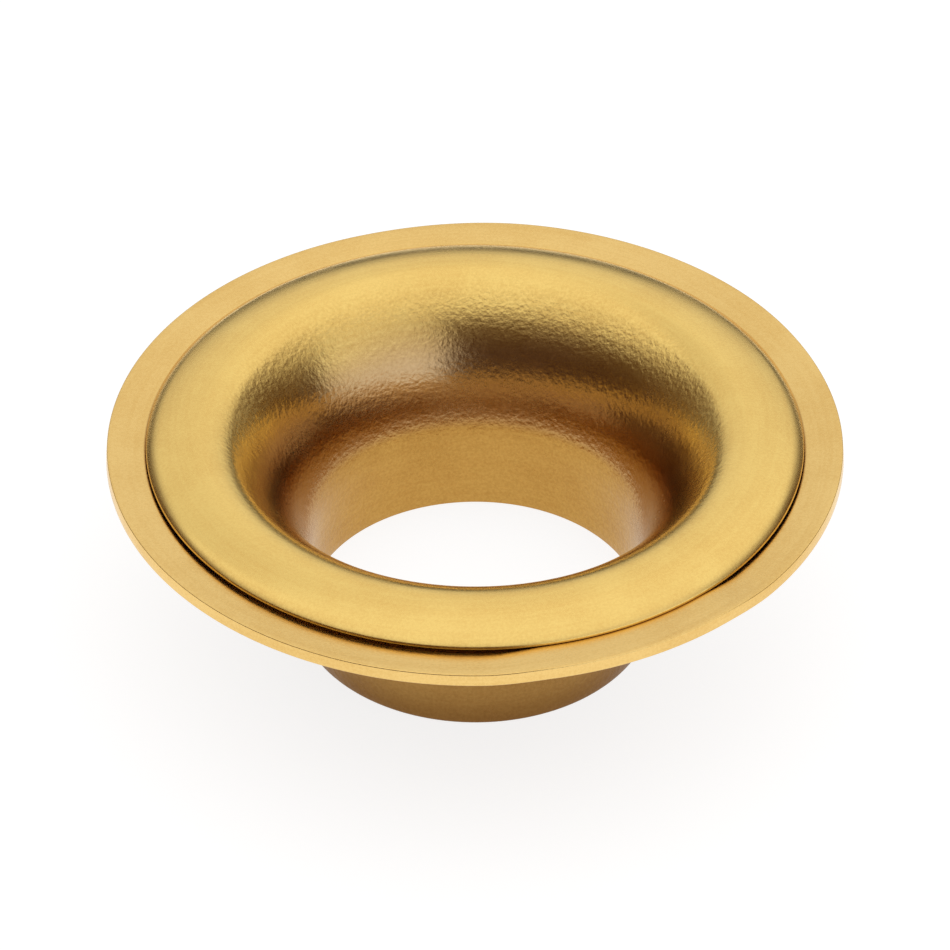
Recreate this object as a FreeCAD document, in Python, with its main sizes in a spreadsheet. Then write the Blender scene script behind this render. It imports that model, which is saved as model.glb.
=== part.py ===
"""A brass grommet eyelet with its washer, standing on the end of its barrel.

The eyelet is one piece of drawn sheet. From the bottom up it is a straight barrel, a throat that opens
as a bell mouth, a rounded shoulder, a crowned flange, and a rim that is bent down and trimmed to a narrow
leaning face. The washer is a dished ring of the same sheet. It is pushed up round the throat until the
flange's rim all but touches it, and its margin shows all round the flange.

Both are bodies of revolution about Z. The floor is Z = 0, and sizes are in millimetres and degrees.
"""

import FreeCAD, Part
import math
import os

import Sketcher

SIZES = [
    ("stock", 0.30, "thickness of the brass sheet, in both pieces"),
    ("bore_diameter", 8.10, "clear bore through the barrel"),
    ("barrel_straight", 1.68, "height of the straight part of the barrel"),
    ("throat_radius", 4.92, "radius of the bell mouth, on its visible side"),
    ("throat_sweep", 48.8, "angle through which the bell mouth opens from the barrel's wall"),
    ("shoulder_radius", 1.20, "radius where the throat turns over into the flange"),
    ("flange_radius", 8.50, "radius of the crowned flange, on its upper side"),
    ("flange_fall", 6.0, "slope of the flange where the bend of its rim starts"),
    ("rim_bend_radius", 0.20, "inside radius of the bend at the rim"),
    ("rim_turn", 50.0, "slope of the rim where its bend ends"),
    ("rim_lean", 16.0, "how far the rim's trimmed face leans from upright"),
    ("washer_margin", 0.94, "how far the washer shows beyond the flange's rim"),
    ("washer_dish_radius", 14.0, "radius of the washer's dished section, on its upper side"),
    ("washer_edge_rise", 6.0, "slope of the washer at its outer edge"),
    ("throat_clearance", 0.05, "gap between the washer's hole and the throat"),
    ("rim_gap", 0.07, "gap between the foot of the rim's face and the washer"),
    ("edge_break", 0.03, "bevel of the eased corners of the sheared edges"),
]

# Where a constraint attaches: a geometry's two ends and its centre, and the sketch's X axis and origin.
START, END, CENTRE = 1, 2, 3
X_AXIS = -1
ORIGIN = (-1, 1)


def make_sheet(doc):
    """Writes the driving dimensions to a spreadsheet and returns it."""
    sheet = doc.addObject("Spreadsheet::Sheet", "sizes")
    for row, (name, value, meaning) in enumerate(SIZES, start=1):
        sheet.set(f"A{row}", name)
        sheet.set(f"B{row}", str(value))
        sheet.set(f"C{row}", meaning)
        sheet.setAlias(f"B{row}", name)
    doc.recompute()
    return sheet


def on_arc(centre, radius, slope):
    """The point of a circle where its upper side has that slope, positive falling outwards."""
    return (centre[0] + radius * math.sin(slope), centre[1] + radius * math.cos(slope))


class Section:
    """A sketch of a piece's section, in its body's XZ plane, with its sizes bound to the sheet."""

    def __init__(self, body, name):
        plane = next(f for f in body.Origin.OriginFeatures if f.Role == "XZ_Plane")
        self.sketch = body.newObject("Sketcher::SketchObject", name)
        self.sketch.AttachmentSupport = (plane, [""])
        self.sketch.MapMode = "FlatFace"

    def line(self, start, end):
        segment = Part.LineSegment(FreeCAD.Vector(*start, 0), FreeCAD.Vector(*end, 0))
        return self.sketch.addGeometry(segment, False)

    def arc(self, centre, radius, inner_slope, outer_slope):
        """An arc between two slopes. Its START is the outer end, and its END the inner one."""
        circle = Part.Circle(FreeCAD.Vector(*centre, 0), FreeCAD.Vector(0, 0, 1), radius)
        low, high = math.pi / 2 - outer_slope, math.pi / 2 - inner_slope
        return self.sketch.addGeometry(Part.ArcOfCircle(circle, low, high), False)

    def guide_circle(self, centre, radius):
        circle = Part.Circle(FreeCAD.Vector(*centre, 0), FreeCAD.Vector(0, 0, 1), radius)
        return self.sketch.addGeometry(circle, True)

    def guide_point(self, x, y):
        return self.sketch.addGeometry(Part.Point(FreeCAD.Vector(x, y, 0)), True)

    def tie(self, kind, *where):
        """Adds a constraint and returns its number."""
        return self.sketch.addConstraint(Sketcher.Constraint(kind, *where))

    def bind(self, name, kind, where, expression):
        """Adds a named dimension that an expression sets."""
        index = self.tie(kind, *where, self.as_drawn(kind, where))
        self.sketch.renameConstraint(index, name)
        self.sketch.setExpression(f"Constraints.{name}", expression)

    def measure(self, name, kind, where):
        """Adds a named dimension that the other piece's expressions read."""
        index = self.tie(kind, *where, self.as_drawn(kind, where))
        self.sketch.setDriving(index, False)
        self.sketch.renameConstraint(index, name)

    def as_drawn(self, kind, where):
        """What a dimension comes to before any expression moves the geometry."""
        shape = self.sketch.Geometry[where[0]] if len(where) == 1 else None
        if kind == "Radius":
            return shape.Radius
        if isinstance(shape, Part.ArcOfCircle):
            return shape.LastParameter - shape.FirstParameter
        if len(where) == 1:
            where = (where[0], START, where[0], END)
        step = self.sketch.getPoint(*where[2:]) - self.sketch.getPoint(*where[:2])
        return {
            "DistanceX": step.x,
            "DistanceY": step.y,
            "Distance": step.Length,
            "Angle": math.atan2(step.y, step.x),
        }[kind]


def draw_eyelet(section, size):
    """The eyelet's wall, and its eased corners: both at the barrel's end, and the rim's outer one."""
    bore, straight, stock = size.bore_diameter / 2, size.barrel_straight, size.stock
    fall, turned = math.radians(size.flange_fall), math.radians(size.rim_turn)
    steep = math.radians(90 - size.throat_sweep)
    throat_centre = (bore + size.throat_radius, straight)
    shoulder_centre = on_arc(throat_centre, size.throat_radius - size.shoulder_radius, -steep)
    flange_centre = on_arc(shoulder_centre, size.shoulder_radius - size.flange_radius, 0)
    rim_radius = size.rim_bend_radius + stock
    rim_centre = on_arc(flange_centre, size.flange_radius - rim_radius, fall)

    def side(depth):
        """One side of the wall, from the throat out to the rim, at that depth in the sheet."""
        throat = section.arc(throat_centre, size.throat_radius - depth, -math.pi / 2, -steep)
        shoulder = section.arc(shoulder_centre, size.shoulder_radius - depth, -steep, 0)
        flange = section.arc(flange_centre, size.flange_radius - depth, 0, fall)
        rim = section.arc(rim_centre, rim_radius - depth, fall, turned)
        section.tie("Tangent", throat, START, shoulder, END)
        section.tie("Tangent", shoulder, START, flange, END)
        section.tie("Tangent", flange, START, rim, END)
        return throat, shoulder, flange, rim

    throat, shoulder, flange, rim = upper = side(0)
    under_throat, _, _, under_rim = under = side(stock)
    for outer, inner in zip(upper, under):
        section.tie("Coincident", outer, CENTRE, inner, CENTRE)
    section.tie("Vertical", shoulder, CENTRE, flange, CENTRE)

    # The face runs from its foot, which is the widest place of the flange, up to the end of the bend.
    bend_end = on_arc(rim_centre, rim_radius, turned)
    foot_inside = on_arc(rim_centre, size.rim_bend_radius, turned)
    face_height = bend_end[1] - foot_inside[1]
    face_foot = (bend_end[0] + face_height * math.tan(math.radians(size.rim_lean)), foot_inside[1])
    rim_face = section.line(face_foot, bend_end)
    rim_foot = section.line(foot_inside, face_foot)
    section.tie("Coincident", rim_face, END, rim, START)
    section.tie("Coincident", rim_face, START, rim_foot, END)
    section.tie("Coincident", rim_foot, START, under_rim, START)
    section.tie("Horizontal", rim_foot)

    inside = section.line((bore, 0), (bore, straight))
    outside = section.line((bore + stock, straight), (bore + stock, 0))
    foot = section.line((bore, 0), (bore + stock, 0))
    section.tie("Tangent", inside, END, throat, END)
    section.tie("Tangent", outside, START, under_throat, END)
    section.tie("Coincident", foot, START, inside, START)
    section.tie("Coincident", foot, END, outside, END)
    section.tie("Vertical", inside)
    section.tie("Vertical", outside)
    section.tie("Horizontal", foot)
    section.tie("PointOnObject", inside, START, X_AXIS)

    section.bind("bore", "DistanceX", (*ORIGIN, inside, START), "sizes.bore_diameter / 2")
    section.bind("straight", "DistanceY", (inside, START, inside, END), "sizes.barrel_straight")
    section.bind("wall", "DistanceX", (foot, START, foot, END), "sizes.stock")
    section.bind("throat", "Radius", (throat,), "sizes.throat_radius")
    section.bind("throat_sweep", "Angle", (throat,), "sizes.throat_sweep * 1 deg")
    section.bind("shoulder", "Radius", (shoulder,), "sizes.shoulder_radius")
    section.bind("flange", "Radius", (flange,), "sizes.flange_radius")
    section.bind("fall", "Angle", (flange,), "sizes.flange_fall * 1 deg")
    section.bind("rim", "Radius", (under_rim,), "sizes.rim_bend_radius")
    bend = "(sizes.rim_turn - sizes.flange_fall) * 1 deg"
    section.bind("rim_turn", "Angle", (rim,), bend)
    section.bind("under_turn", "Angle", (under_rim,), bend)
    section.bind("rim_lean", "Angle", (rim_face,), "90 deg + sizes.rim_lean * 1 deg")
    section.measure("flange_reach", "DistanceX", (*ORIGIN, rim_face, START))
    section.measure("rim_height", "DistanceY", (*ORIGIN, rim_face, START))
    return (foot, START), (foot, END), (rim_foot, END)


def draw_washer(section, size, eyelet_section):
    """The washer's dished wall, under the flange's rim, and its eased corners: all four."""
    radius, stock = size.washer_dish_radius, size.stock
    throat_centre = (size.bore_diameter / 2 + size.throat_radius, size.barrel_straight)
    throat_reach = size.throat_radius - stock - size.throat_clearance
    rim_x = eyelet_section.getDatum("flange_reach").Value
    rim_y = eyelet_section.getDatum("rim_height").Value - size.rim_gap
    rise = math.radians(size.washer_edge_rise)
    edge = rim_x + size.washer_margin
    centre_x = edge + (radius - stock) * math.sin(rise)
    dish_centre = (centre_x, rim_y - math.sqrt(radius**2 - (centre_x - rim_x) ** 2))

    # The hole's upper corner is where the dished section meets the throat's outside.
    away = (dish_centre[0] - throat_centre[0], dish_centre[1] - throat_centre[1])
    between = math.hypot(*away)
    along = (between**2 + throat_reach**2 - radius**2) / (2 * between)
    across = math.sqrt(throat_reach**2 - along**2)
    hole_x = throat_centre[0] + (away[0] * along + away[1] * across) / between
    hole_rise = math.asin((centre_x - hole_x) / radius)

    upper = section.arc(dish_centre, radius, -hole_rise, -rise)
    lower = section.arc(dish_centre, radius - stock, -hole_rise, -rise)
    outer_edge = section.line(
        on_arc(dish_centre, radius - stock, -rise), on_arc(dish_centre, radius, -rise)
    )
    hole_edge = section.line(
        on_arc(dish_centre, radius - stock, -hole_rise), on_arc(dish_centre, radius, -hole_rise)
    )
    section.tie("Coincident", upper, CENTRE, lower, CENTRE)
    section.tie("Coincident", outer_edge, START, lower, START)
    section.tie("Perpendicular", outer_edge, END, upper, START)
    section.tie("Coincident", hole_edge, START, lower, END)
    section.tie("Perpendicular", hole_edge, END, upper, END)

    throat = section.guide_circle(throat_centre, throat_reach)
    section.tie("PointOnObject", upper, END, throat)
    throat_x = "sizes.bore_diameter / 2 + sizes.throat_radius"
    clear_of_throat = "sizes.throat_radius - sizes.stock - sizes.throat_clearance"
    section.bind("throat_x", "DistanceX", (*ORIGIN, throat, CENTRE), throat_x)
    section.bind("throat_y", "DistanceY", (*ORIGIN, throat, CENTRE), "sizes.barrel_straight")
    section.bind("throat_clear", "Radius", (throat,), clear_of_throat)

    rest = section.guide_point(rim_x, rim_y)
    section.tie("PointOnObject", rest, START, upper)
    eyelet = f"{eyelet_section.Name}.Constraints"
    under_rim = f"{eyelet}.rim_height - sizes.rim_gap * 1 mm"
    over_edge = f"{eyelet}.flange_reach + sizes.washer_margin * 1 mm"
    section.bind("rest_reach", "DistanceX", (*ORIGIN, rest, START), f"{eyelet}.flange_reach")
    section.bind("rest_height", "DistanceY", (*ORIGIN, rest, START), under_rim)

    section.bind("dish", "Radius", (upper,), "sizes.washer_dish_radius")
    section.bind("wall", "Distance", (outer_edge, START, outer_edge, END), "sizes.stock")
    section.bind("over_edge", "DistanceX", (*ORIGIN, lower, START), over_edge)
    section.bind("edge_rise", "Angle", (outer_edge,), "90 deg + sizes.washer_edge_rise * 1 deg")
    return (outer_edge, START), (outer_edge, END), (hole_edge, START), (hole_edge, END)


def break_edges(body, turned, sketch, ends):
    """Bevels the eased corners, which are the circles swept by those ends of the section's lines."""
    corners = [sketch.getPoint(*end) for end in ends]
    names = []
    for number, edge in enumerate(turned.Shape.Edges, start=1):
        if not isinstance(edge.Curve, Part.Circle):
            continue
        centre, radius = edge.Curve.Center, edge.Curve.Radius
        if any(math.hypot(radius - c.x, centre.z - c.y) < 1e-5 for c in corners):
            names.append(f"Edge{number}")
    if len(names) != len(corners):
        raise RuntimeError(f"{body.Label}: {len(names)} eased corners found, not {len(corners)}")
    bevel = body.newObject("PartDesign::Chamfer", f"{body.Label}_edges")
    bevel.Base = (turned, names)
    bevel.setExpression("Size", "sizes.edge_break")


def make_piece(doc, size, name, draw, *others):
    """A piece of sheet: its section, turned about Z, with its eased corners bevelled."""
    body = doc.addObject("PartDesign::Body", name)
    body.Label = name
    section = Section(body, f"{name}_section")
    sketch = section.sketch
    eased = draw(section, size, *others)
    doc.recompute()
    if not sketch.FullyConstrained:
        raise RuntimeError(f"{sketch.Name} is not fully constrained")
    turned = body.newObject("PartDesign::Revolution", f"{name}_turned")
    turned.Profile = sketch
    turned.ReferenceAxis = (sketch, ["V_Axis"])
    turned.Angle = 360
    doc.recompute()
    break_edges(body, turned, sketch, eased)
    doc.recompute()
    return body, sketch


def check(doc, bodies):
    """Stops when any object has failed or a piece's shape is not one valid solid."""
    for item in doc.Objects:
        if any(state in ("Invalid", "Error") for state in item.State):
            raise RuntimeError(f"{item.Name}: {item.State}")
    for body in bodies:
        shape = body.Shape
        if shape.isNull() or not shape.isValid() or len(shape.Solids) != 1:
            raise RuntimeError(f"{body.Label}: its shape is not one valid solid")


def main():
    doc = FreeCAD.newDocument("grommet_eyelet")
    size = make_sheet(doc)
    eyelet, eyelet_sketch = make_piece(doc, size, "eyelet", draw_eyelet)
    washer, _ = make_piece(doc, size, "washer", draw_washer, eyelet_sketch)
    bodies = [eyelet, washer]
    check(doc, bodies)
    os.makedirs("parts", exist_ok=True)
    for body in bodies:
        body.Shape.exportStep(os.path.join("parts", f"{body.Label}.step"))


main()
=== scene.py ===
"""The looks of the brass grommet eyelet: revolved pieces, satin brass, a light tent, camera."""

import math

import bpy
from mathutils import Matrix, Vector


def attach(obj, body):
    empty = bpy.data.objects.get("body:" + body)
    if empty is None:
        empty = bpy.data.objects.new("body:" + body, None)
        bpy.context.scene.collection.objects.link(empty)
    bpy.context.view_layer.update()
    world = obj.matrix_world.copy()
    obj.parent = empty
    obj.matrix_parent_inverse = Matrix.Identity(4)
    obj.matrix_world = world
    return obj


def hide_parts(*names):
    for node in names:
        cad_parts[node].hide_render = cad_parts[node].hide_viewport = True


MM = 0.001

# Sizes are in millimetres and angles in degrees, unless a comment says otherwise.
# The two sections are as the solids have them, but for the flange: here its crown is rounder and
# bends down to the rim more softly, by less than half its sheet.
STOCK = 0.30
BORE = 4.05
STRAIGHT = 1.68
THROAT, THROAT_SWEEP = 4.92, 48.8
SHOULDER = 1.20
FLANGE, FLANGE_FALL = 2.90, 19.0
RIM, RIM_FALL = 0.82, 45.0
FACE, RIM_LEAN = 0.0615, 16.0
MARGIN = 0.943
DISH, EDGE_RISE = 14.0, 6.0
THROAT_CLEARANCE, RIM_GAP = 0.05, 0.07
EDGE_BREAK, HEEL_ROUND, TOE_ROUND = 0.03, 0.08, 0.01

# The flange's underside keeps even with its upper side over this share of the flange's fall.
UNDERSIDE_SHARE = 0.65

# The solids' facets lie a hair inside their round outlines, and the pieces stay inside those.
INSIDE = 0.9995

# Facets round the axis, and along each arc of the sections.
SEGMENTS = 420
THROAT_STEPS, SHOULDER_STEPS, FLANGE_STEPS, RIM_STEPS, DISH_STEPS = 40, 26, 20, 16, 26

# The barrel's cut end is out of true by up to this much, less and less up to its height here. The
# flange's rim is out by up to twice that for each millimetre beyond its radius here.
UNEVENNESS = 0.012
CUT_END_HEIGHT = 0.8
UNEVEN_RIM_RADIUS = 6.9

# Where the washer is lifted to the rim: by how much, the middle of the place, how far to each side
# of it the lift is whole, and where it ends. Elsewhere the washer hangs lower.
WASHER_LIFTS = (0.064, -64, 14, 25), (0.066, 60, 20, 50)
WASHER_HANG = 0.014

# Brass: the polished head, light and deep; painted shade, as the neck's brown and as what darkens
# the throat, the barrel's outside and its foot, and the crevice; and the speckle's random dulling.
EYELET_TONES = (0.92, 0.645, 0.20), (0.84, 0.55, 0.16)
WASHER_TONES = (0.89, 0.605, 0.215), (0.80, 0.51, 0.16)
NECK_PAINTED_SHADE = (0.56, 0.365, 0.185)
THROAT_PAINTED_SHADE = (0.61, 0.49, 0.38)
OUTSIDE_PAINTED_SHADE = (0.41, 0.32, 0.29)
FOOT_PAINTED_SHADE = (0.62, 0.55, 0.50)
CREVICE_PAINTED_SHADE = (0.40, 0.27, 0.18)
SPECKLE_DULL = (0.91, 0.89, 0.85)

# Heights or radii between which each of these comes in: nothing at the first, all at the second.
THROAT_HEIGHTS = 5.1, 3.8
NECK_HEIGHTS = 2.3, 2.9
OUTSIDE_HEIGHTS = 4.7, 4.3
END_HEIGHTS = 1.1, 0.0
EYELET_PEEL_RADII = 6.35, 5.7
WASHER_PEEL_RADII = 6.0, 5.0
CREVICE_RADII = 7.86, 7.79
NOWHERE = 20.0, 21.0

# The values of a noise mostly lie between the first two. The drift and the spots are cut closer.
NOISE = 0.3, 0.7
DRIFT_NOISE = 0.35, 0.65
SPOT_NOISE = 0.35, 0.68

# From the light tone, 0, to the deep one, 1: by the drift, and what grain and rings add or take.
DRIFT_TONE = 0.15, 0.6
GRAIN_TONE = 0.25
RING_TONE = 0.16

# Satin: from the smoothest to the roughest, and what the grain adds or takes.
ROUGHNESS = 0.21, 0.27
GRAIN_ROUGHNESS = 0.02

# The relief's depth.
PEEL_DEPTH = 0.009
GRAIN_DEPTH = 0.0013
RING_DEPTH = 0.0012

# Round patches of the tent: azimuth, clockwise from straight behind the object, and elevation,
# then the cosine of the angle from there at which the patch begins, and at which it is full.
OVERHEAD = 0, 74.5, 0.41, 0.67
DIMMER = -35, 38, 0.88, 0.97
WINDOW_RIGHT = 118, 22, 0.88, 0.975
WINDOW_FRONT = 143, 24, 0.90, 0.975

ROOM_COLOUR = (0.10, 0.055, 0.03)
OVERHEAD_COLOUR = (1.0, 1.0, 1.0)
DIMMER_COLOUR = (0.80, 0.80, 0.80)
PANE_LOW, PANE_HIGH = (1.18, 1.28, 1.38), (0.80, 0.80, 0.88)

# The sweep's brightness low down and towards its top. At the horizon it fades into the dark.
SWEEP = 0.40, 0.88

# How steeply a ray rises, as its Z, where the pane changes, the sweep brightens and the dark of
# the horizon ends. How far it goes to the back, as its Y, where the sweep comes in.
PANE_RISE = 0.30, 0.62
SWEEP_RISE = 0.0, 0.50
HORIZON_RISE = 0.06, 0.28
SWEEP_BACK = 0.50, 0.88

# The floor: half its side in metres, its grey, and its glow.
FLOOR_REACH = 3.0
FLOOR_GREY = 0.32
FLOOR_GLOW = 0.82

# The camera stands in front, this many degrees up, and this far from the middle of the flange at
# this height. In the picture it aims a little below that point.
CAMERA_UP = 37.7
CAMERA_AWAY = 100
CAMERA_OVER = 5.32
CAMERA_AIM_LOWER = 0.98
CAMERA_LENS = 160


def on_arc(centre, radius, slope):
    """The point of a circle where its upper side has that slope, positive falling outwards."""
    return Vector((centre[0] + radius * math.sin(slope), centre[1] + radius * math.cos(slope)))


def arc(centre, radius, first, last, steps):
    """Points of a circle from one slope to another."""
    return [on_arc(centre, radius, first + (last - first) * i / steps) for i in range(steps + 1)]


def line(start, end, steps=4):
    """Points along a line, closer together at its ends."""
    return [start.lerp(end, 0.5 - 0.5 * math.cos(math.pi * i / steps)) for i in range(steps + 1)]


def joined(*runs):
    """One run of points, without the repeats where two runs meet."""
    points = []
    for run in runs:
        for point in run:
            if not points or (point - points[-1]).length > 1e-4:
                points.append(point)
    return points


def rounded(before, corner, after, radius=EDGE_BREAK, steps=4):
    """The corner between two straight directions, rounded to that radius."""
    one, two = (before - corner).normalized(), (after - corner).normalized()
    half = one.angle(two) / 2
    middle = corner + (one + two).normalized() * (radius / math.sin(half))
    start = corner + one * (radius / math.tan(half)) - middle
    end = corner + two * (radius / math.tan(half)) - middle
    swing = start.angle(end)
    turned = []
    for i in range(steps + 1):
        t = i / steps
        blend = start * math.sin((1 - t) * swing) + end * math.sin(t * swing)
        turned.append(middle + blend / math.sin(swing))
    return turned


def eyelet_section():
    """The eyelet's closed section, the throat's centre, and the foot of the rim's face."""
    steep, fall = math.radians(90 - THROAT_SWEEP), math.radians(FLANGE_FALL)
    throat = (BORE + THROAT, STRAIGHT)
    shoulder = on_arc(throat, THROAT - SHOULDER, -steep)
    flange = on_arc(shoulder, SHOULDER - FLANGE, 0)
    bend = on_arc(flange, FLANGE - RIM, fall)

    def side(depth, last):
        """One side of the sheet, from the barrel up and out to a slope of the flange."""
        return joined(
            arc(throat, THROAT - depth, -math.pi / 2, -steep, THROAT_STEPS),
            arc(shoulder, SHOULDER - depth, -steep, 0, SHOULDER_STEPS),
            arc(flange, FLANGE - depth, 0, last, FLANGE_STEPS),
        )

    upper = joined(side(0, fall), arc(bend, RIM, fall, math.radians(RIM_FALL), RIM_STEPS))
    under = side(STOCK, UNDERSIDE_SHARE * fall)
    face_foot = upper[-1] + Vector((FACE * math.tan(math.radians(RIM_LEAN)), -FACE))
    foot_in, foot_out = Vector((BORE, 0)), Vector((BORE + STOCK, 0))
    heel_out = rounded(under[0], foot_out, foot_in, HEEL_ROUND)
    heel_in = rounded(foot_out, foot_in, upper[0])
    section = joined(
        line(heel_in[-1], upper[0]),
        upper[:-1],
        rounded(upper[-2], upper[-1], face_foot),
        rounded(upper[-1], face_foot, under[-1], TOE_ROUND),
        line(face_foot, under[-1])[1:],
        list(reversed(under[:-1])),
        line(under[0], heel_out[0]),
        heel_out,
        heel_in[:-1],
    )
    return section, throat, face_foot


def washer_section(throat, face_foot):
    """The washer's closed section, under the rim's face and clear of the throat."""
    rise = math.radians(EDGE_RISE)
    rest = face_foot - Vector((0, RIM_GAP))
    centre_x = face_foot.x + MARGIN + (DISH - STOCK) * math.sin(rise)
    centre = Vector((centre_x, rest.y - math.sqrt(DISH**2 - (centre_x - rest.x) ** 2)))

    # The hole's edge is where the dish's upper side comes within the clearance of the throat.
    away = centre - Vector(throat)
    reach = THROAT - STOCK - THROAT_CLEARANCE
    along = (away.length_squared + reach**2 - DISH**2) / (2 * away.length)
    across = math.sqrt(reach**2 - along**2)
    hole_x = throat[0] + (away.x * along + away.y * across) / away.length
    steep = math.asin((centre_x - hole_x) / DISH)

    upper = arc(centre, DISH, -steep, -rise, DISH_STEPS)
    lower = arc(centre, DISH - STOCK, -steep, -rise, DISH_STEPS)
    return joined(
        upper[1:-1],
        rounded(upper[-2], upper[-1], lower[-1]),
        rounded(upper[-1], lower[-1], lower[-2]),
        list(reversed(lower[1:-1])),
        rounded(lower[1], lower[0], upper[0]),
        rounded(lower[0], upper[0], upper[1]),
    )


def revolve(name, section, shift):
    """A closed section turned about Z. shift gives what is added to each point's height."""
    count = len(section)
    vertices, faces = [], []
    section = [point * INSIDE for point in section]
    for i in range(SEGMENTS):
        angle = 2 * math.pi * i / SEGMENTS
        for point in section:
            x, y = point.x * math.cos(angle), point.x * math.sin(angle)
            height = point.y + shift(point.x, point.y, angle)
            vertices.append((MM * x, MM * y, MM * height))
    for i in range(SEGMENTS):
        here, there = i * count, (i + 1) % SEGMENTS * count
        for j in range(count):
            k = (j + 1) % count
            faces.append((here + j, there + j, there + k, here + k))
    mesh = bpy.data.meshes.new(name)
    mesh.from_pydata(vertices, [], faces)
    mesh.validate()
    mesh.shade_smooth()
    piece = bpy.data.objects.new(name, mesh)
    bpy.context.scene.collection.objects.link(piece)
    return piece


def near(angle, where, inner, outer):
    """1 within inner degrees of a place on the round, 0 beyond outer degrees, smooth between."""
    off = abs((math.degrees(angle) - where + 180) % 360 - 180)
    t = min(1.0, max(0.0, (outer - off) / (outer - inner)))
    return t * t * (3 - 2 * t)


def eyelet_shift(radius, height, angle):
    """The barrel's end is cut a hair out of true, and the rim isn't turned down quite evenly."""
    foot = max(0.0, 1 - height / CUT_END_HEIGHT) * (1 + math.sin(2 * angle + 0.7)) / 2
    waves = math.sin(3 * angle + 1.1) + math.sin(2 * angle)
    rim = max(0.0, radius - UNEVEN_RIM_RADIUS) * (waves - 2) / 2
    return UNEVENNESS * (foot + rim)


def washer_shift(radius, height, angle):
    """The washer all but touches the rim at the front right and the back right."""
    return sum(lift * near(angle, *place) for lift, *place in WASHER_LIFTS) - WASHER_HANG


class Tree:
    """Short calls for a node tree."""

    def __init__(self, owner):
        owner.use_nodes = True
        self.tree = owner.node_tree
        self.tree.nodes.clear()

    def put(self, socket, value):
        """Links a socket to another one, or sets its value."""
        if isinstance(value, bpy.types.NodeSocket):
            self.tree.links.new(value, socket)
        else:
            socket.default_value = value

    def add(self, kind, inputs=None, **settings):
        node = self.tree.nodes.new(kind)
        for name, value in settings.items():
            setattr(node, name, value)
        for name, value in (inputs or {}).items():
            self.put(node.inputs[name], value)
        return node

    def maths(self, operation, *values, clamp=False):
        inputs = dict(enumerate(values))
        return self.add("ShaderNodeMath", inputs, operation=operation, use_clamp=clamp).outputs[0]

    def vector(self, operation, *values):
        """The outputs of a step of vector maths: the first, or Value where it gives a number."""
        inputs = dict(enumerate(values))
        return self.add("ShaderNodeVectorMath", inputs, operation=operation).outputs

    def noise(self, vector, scale, detail=2.0, roughness=0.5):
        inputs = {"Vector": vector, "Scale": scale, "Detail": detail, "Roughness": roughness}
        return self.add("ShaderNodeTexNoise", inputs).outputs[0]

    def span(self, value, first, last, to_first=0.0, to_last=1.0):
        """A smooth step: one number up to where the value is first, the other from last on."""
        ends = {"From Min": first, "From Max": last, "To Min": to_first, "To Max": to_last}
        step = self.add("ShaderNodeMapRange", ends, interpolation_type="SMOOTHSTEP")
        self.put(step.inputs["Value"], value)
        return step.outputs["Result"]

    def mixed(self, factor, first, second, **settings):
        node = self.add("ShaderNodeMix", {"Factor": factor}, data_type="RGBA", **settings)
        for socket, colour in zip(node.inputs[6:8], (first, second)):
            self.put(socket, colour if isinstance(colour, bpy.types.NodeSocket) else (*colour, 1))
        return node.outputs[2]

    def tint(self, factor, first, second):
        """The first colour where the factor is 0, and the second where it is 1."""
        return self.mixed(factor, first, second)

    def dulled(self, colour, amount, by):
        """The colour multiplied by another one where amount is 1."""
        return self.mixed(amount, colour, by, blend_type="MULTIPLY")


def painted_shade(tree, colour, radius, height, crevice_radii):
    """Painted shade: a duller throat, a browner neck, a darker barrel outside and crevice."""
    # The sheet's two sides differ in their distance from the centre of the throat's arc.
    across = tree.maths("SUBTRACT", BORE + THROAT, radius)
    above = tree.maths("MAXIMUM", tree.maths("SUBTRACT", height, STRAIGHT), 0.0)
    squares = tree.maths("ADD", tree.maths("POWER", across, 2.0), tree.maths("POWER", above, 2.0))
    from_centre = tree.maths("SQRT", squares)
    outer_side = tree.span(from_centre, THROAT - STOCK / 3, THROAT - STOCK * 2 / 3)

    outside = tree.maths("MULTIPLY", tree.span(height, *OUTSIDE_HEIGHTS), outer_side)
    not_outside = tree.maths("SUBTRACT", 1.0, outside)
    throat = tree.maths("MULTIPLY", tree.span(height, *THROAT_HEIGHTS), not_outside)
    neck = tree.maths("MULTIPLY", throat, tree.span(height, *NECK_HEIGHTS))
    end = tree.maths("MULTIPLY", outside, tree.span(height, *END_HEIGHTS))

    # Painted shade: the throat is darkened and its neck tinted brown, standing in for the bore's
    # dark reflections.
    colour = tree.dulled(colour, throat, THROAT_PAINTED_SHADE)
    colour = tree.tint(neck, colour, NECK_PAINTED_SHADE)
    # Painted shade: the barrel's outside darkened as if it mirrored the shaded floor under the
    # washer, and darker still towards its foot.
    colour = tree.dulled(colour, outside, OUTSIDE_PAINTED_SHADE)
    colour = tree.dulled(colour, end, FOOT_PAINTED_SHADE)
    # Painted shade: a dark ring on the washer by the rim, where the gap under the rim lies in
    # shade.
    return tree.dulled(colour, tree.span(radius, *crevice_radii), CREVICE_PAINTED_SHADE)


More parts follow.
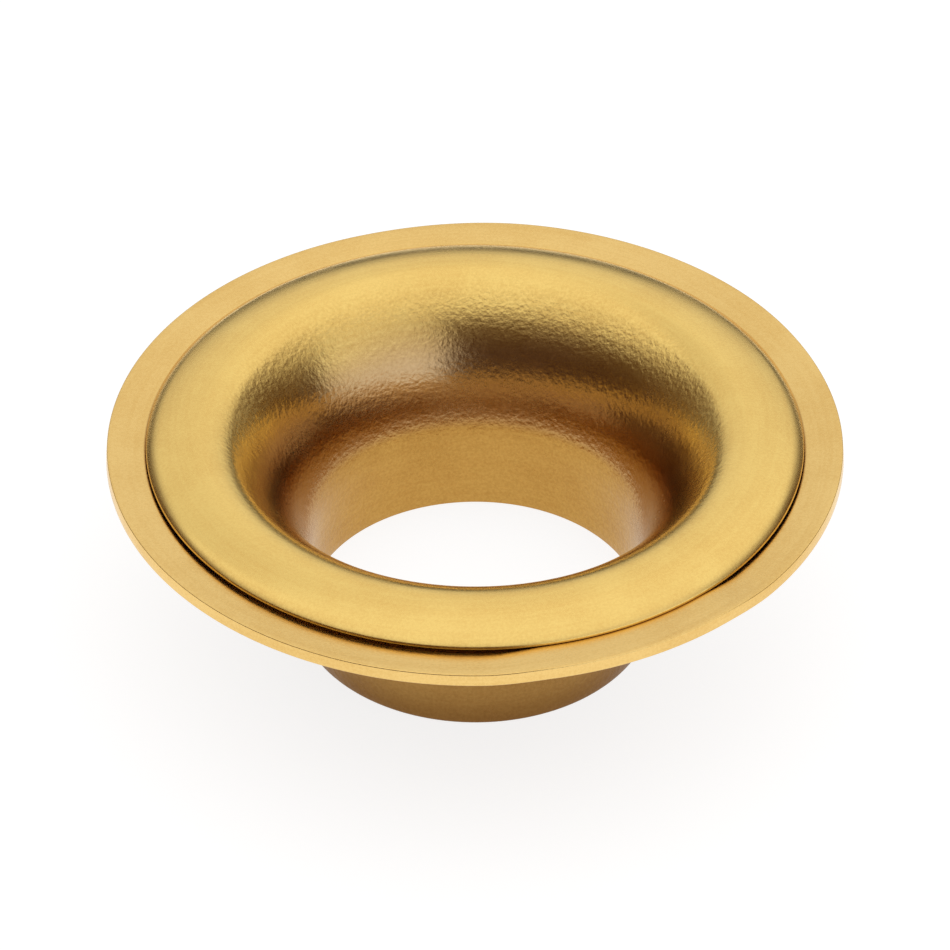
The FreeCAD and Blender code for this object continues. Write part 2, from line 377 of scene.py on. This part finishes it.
def brass(name, tones, peel_radii, crevice_radii):
    """Satin brass: drifting tone, fine grain, rings from the tools, orange peel where drawn."""
    material = bpy.data.materials.new(name)
    tree = Tree(material)
    place = tree.add("ShaderNodeTexCoord").outputs["Object"]
    in_mm = tree.vector("MULTIPLY", place, (1000, 1000, 1000))[0]
    radius = tree.vector("LENGTH", tree.vector("MULTIPLY", in_mm, (1, 1, 0))[0])["Value"]
    height = tree.add("ShaderNodeSeparateXYZ", {0: in_mm}).outputs["Z"]

    # The rings run round the axis, and this lets them drift a little on the way.
    section_place = tree.add("ShaderNodeCombineXYZ", {"X": radius, "Y": height}).outputs[0]
    drifting = tree.vector("MULTIPLY_ADD", in_mm, (0.03, 0.03, 0.03), section_place)[0]

    tone = tree.noise(in_mm, scale=0.5, detail=3.0, roughness=0.6)
    grain = tree.noise(in_mm, scale=16.0)
    rings = tree.noise(drifting, scale=9.0, roughness=0.6)
    peel = tree.noise(in_mm, scale=7.5)
    spots = tree.noise(in_mm, scale=13.0)
    drawn = tree.span(radius, *peel_radii)

    deep = tree.span(tone, *DRIFT_NOISE, *DRIFT_TONE)
    deep = tree.maths("ADD", deep, tree.span(grain, *NOISE, -GRAIN_TONE, GRAIN_TONE))
    deep = tree.maths("ADD", deep, tree.span(rings, *NOISE, -RING_TONE, RING_TONE), clamp=True)
    colour = painted_shade(tree, tree.tint(deep, *tones), radius, height, crevice_radii)
    speckle = tree.maths("MULTIPLY", drawn, tree.span(spots, *SPOT_NOISE))
    colour = tree.dulled(colour, speckle, SPECKLE_DULL)

    roughness = tree.span(grain, *NOISE, -GRAIN_ROUGHNESS, GRAIN_ROUGHNESS)
    roughness = tree.maths("ADD", tree.span(tone, *NOISE, *ROUGHNESS), roughness)

    heights = tree.maths("MULTIPLY", tree.maths("MULTIPLY", peel, drawn), PEEL_DEPTH)
    heights = tree.maths("MULTIPLY_ADD", grain, GRAIN_DEPTH, heights)
    heights = tree.maths("MULTIPLY_ADD", rings, RING_DEPTH, heights)
    relief = tree.add("ShaderNodeBump", {"Height": heights, "Distance": MM, "Strength": 1.0})

    inputs = {"Metallic": 1.0, "Roughness": roughness, "Normal": relief.outputs[0]}
    surface = tree.add("ShaderNodeBsdfPrincipled", {"Base Color": colour, **inputs}).outputs[0]
    tree.add("ShaderNodeOutputMaterial", {"Surface": surface})
    return material


def floor_white():
    """A matt floor, which also glows where it is seen directly, mirrored or through something."""
    material = bpy.data.materials.new("floor_white")
    tree = Tree(material)
    grey = (FLOOR_GREY, FLOOR_GREY, FLOOR_GREY, 1)
    matt = tree.add("ShaderNodeBsdfDiffuse", {"Color": grey}).outputs[0]
    path = tree.add("ShaderNodeLightPath").outputs
    seen = tree.maths("MAXIMUM", path["Is Camera Ray"], path["Is Glossy Ray"])
    seen = tree.maths("MAXIMUM", seen, path["Is Transmission Ray"])
    strength = tree.maths("MULTIPLY", seen, FLOOR_GLOW)
    glow = tree.add("ShaderNodeEmission", {"Color": (1, 1, 1, 1), "Strength": strength}).outputs[0]
    surface = tree.add("ShaderNodeAddShader", {0: matt, 1: glow}).outputs[0]
    tree.add("ShaderNodeOutputMaterial", {"Surface": surface})
    return material


def floor():
    mesh = bpy.data.meshes.new("floor")
    signs = ((-1, -1), (1, -1), (1, 1), (-1, 1))
    corners = [(FLOOR_REACH * x, FLOOR_REACH * y, 0) for x, y in signs]
    mesh.from_pydata(corners, [], [(0, 1, 2, 3)])
    mesh.materials.append(floor_white())
    thing = bpy.data.objects.new("floor", mesh)
    bpy.context.scene.collection.objects.link(thing)


def sky():
    """A light tent: a wide opening overhead, tilted back, a pale sweep behind, a side window.

    What the brass shows is mostly this. The low front and left of the room stay dark and warm.
    """
    world = bpy.data.worlds.new("tent")
    bpy.context.scene.world = world
    tree = Tree(world)
    way = tree.add("ShaderNodeTexCoord").outputs["Generated"]
    apart = tree.add("ShaderNodeSeparateXYZ", {0: way}).outputs

    def patch(azimuth, elevation, begins, full):
        """1 in a patch and 0 outside it."""
        a, e = math.radians(azimuth), math.radians(elevation)
        there = (math.sin(a) * math.cos(e), math.cos(a) * math.cos(e), math.sin(e))
        return tree.span(tree.vector("DOT_PRODUCT", way, there)["Value"], begins, full)

    lit = tree.tint(patch(*OVERHEAD), ROOM_COLOUR, OVERHEAD_COLOUR)
    lit = tree.dulled(lit, patch(*DIMMER), DIMMER_COLOUR)

    window = tree.maths("MAXIMUM", patch(*WINDOW_RIGHT), patch(*WINDOW_FRONT))
    pane = tree.tint(tree.span(apart["Z"], *PANE_RISE), PANE_LOW, PANE_HIGH)
    lit = tree.tint(window, lit, pane)

    sweep = tree.span(apart["Z"], *SWEEP_RISE, *SWEEP)
    sweep = tree.maths("MULTIPLY", sweep, tree.span(apart["Z"], *HORIZON_RISE))
    grey = tree.add("ShaderNodeCombineXYZ", {"X": sweep, "Y": sweep, "Z": sweep}).outputs[0]
    lit = tree.tint(tree.span(apart["Y"], *SWEEP_BACK), lit, grey)

    background = tree.add("ShaderNodeBackground", {"Color": lit, "Strength": 1.0}).outputs[0]
    tree.add("ShaderNodeOutputWorld", {"Surface": background})


def camera():
    up = math.radians(CAMERA_UP)
    over = Vector((0, 0, CAMERA_OVER * MM))
    eye = over + Vector((0, -math.cos(up), math.sin(up))) * CAMERA_AWAY * MM
    aim = over - Vector((0, math.sin(up), math.cos(up))) * CAMERA_AIM_LOWER * MM
    data = bpy.data.cameras.new("camera")
    data.lens = CAMERA_LENS
    data.clip_start = 0.005
    data.clip_end = 20
    thing = bpy.data.objects.new("camera", data)
    thing.location = eye
    thing.rotation_euler = (aim - eye).to_track_quat("-Z", "Y").to_euler()
    bpy.context.scene.collection.objects.link(thing)
    bpy.context.scene.camera = thing


def dress():
    """Puts a finely revolved piece in place of each node. Only the washer has painted shade in the
    crevice.
    """
    eyelet, throat, face_foot = eyelet_section()
    washer = washer_section(throat, face_foot)
    pieces = (
        ("eyelet", eyelet, eyelet_shift, (EYELET_TONES, EYELET_PEEL_RADII, NOWHERE)),
        ("washer", washer, washer_shift, (WASHER_TONES, WASHER_PEEL_RADII, CREVICE_RADII)),
    )
    for node, section, shift, look in pieces:
        piece = revolve(f"{node}_skin", section, shift)
        piece.data.materials.append(brass(f"brass_{node}", *look))
        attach(piece, "root")
        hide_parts(node)


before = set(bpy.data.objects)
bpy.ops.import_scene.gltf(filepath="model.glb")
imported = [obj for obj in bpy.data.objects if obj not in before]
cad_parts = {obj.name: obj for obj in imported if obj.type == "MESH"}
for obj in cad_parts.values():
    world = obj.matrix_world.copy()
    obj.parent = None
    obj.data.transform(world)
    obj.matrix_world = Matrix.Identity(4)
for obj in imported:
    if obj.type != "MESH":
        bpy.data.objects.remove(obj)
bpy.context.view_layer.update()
bpy.context.scene.view_settings.view_transform = "Standard"
dress()
floor()
sky()
camera()
